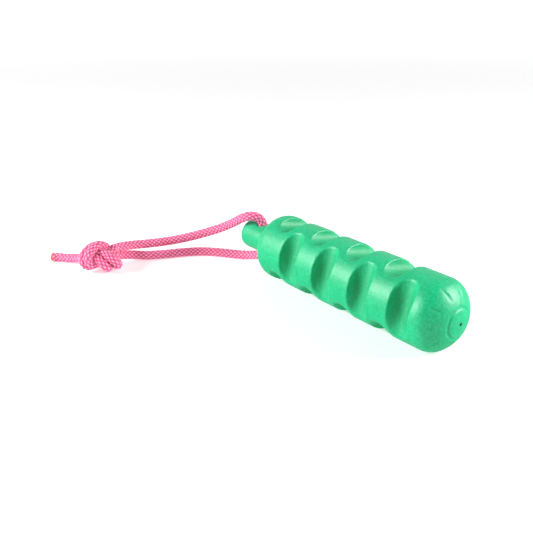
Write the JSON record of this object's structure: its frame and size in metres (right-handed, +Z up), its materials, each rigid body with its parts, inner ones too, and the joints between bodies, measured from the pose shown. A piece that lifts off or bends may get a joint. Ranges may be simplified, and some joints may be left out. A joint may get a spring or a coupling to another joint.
{
  "type": "training bumper",
  "caption": "Floating rubber retrieving stick with staggered grip grooves, a domed nose, a drilled neck and a knotted loop of braided throwing cord.",
  "frame": {"origin": "middle of the rubber bumper's own box, on the surface that it lies on; the throwing cord isn't counted", "axes": "+X along the bumper from its neck to its domed nose, +Z up, with the bumper lying on its side; the cord loop lies towards -X and -Y"},
  "size_m": [0.3135, 0.1575, 0.05],
  "materials": {
    "green_rubber": "satin moulded rubber with a fine grain",
    "core_foam": "closed-cell foam",
    "pink_braid": "braided polyester cord",
    "melted_braid": "heat-sealed cord end"
  },
  "bodies": {
    "bumper": {"bumper_shell": "green_rubber", "foam_core": "core_foam"},
    "cord_loop": {"cord_in_neck": "pink_braid", "cord_upper_run": "pink_braid", "cord_lower_run": "pink_braid", "cord_knot": "pink_braid", "cord_tail_long": "pink_braid", "cord_tail_short": "pink_braid", "sealed_tip_long": "melted_braid", "sealed_tip_short": "melted_braid"}
  },
  "joints": [
    {"name": "loop_swing", "type": "hinge", "parent": "bumper", "child": "cord_loop", "pos_m": [-0.088, 0, 0.025], "axis": [0, 0, 1], "range_deg": [-110, 80]}
  ]
}
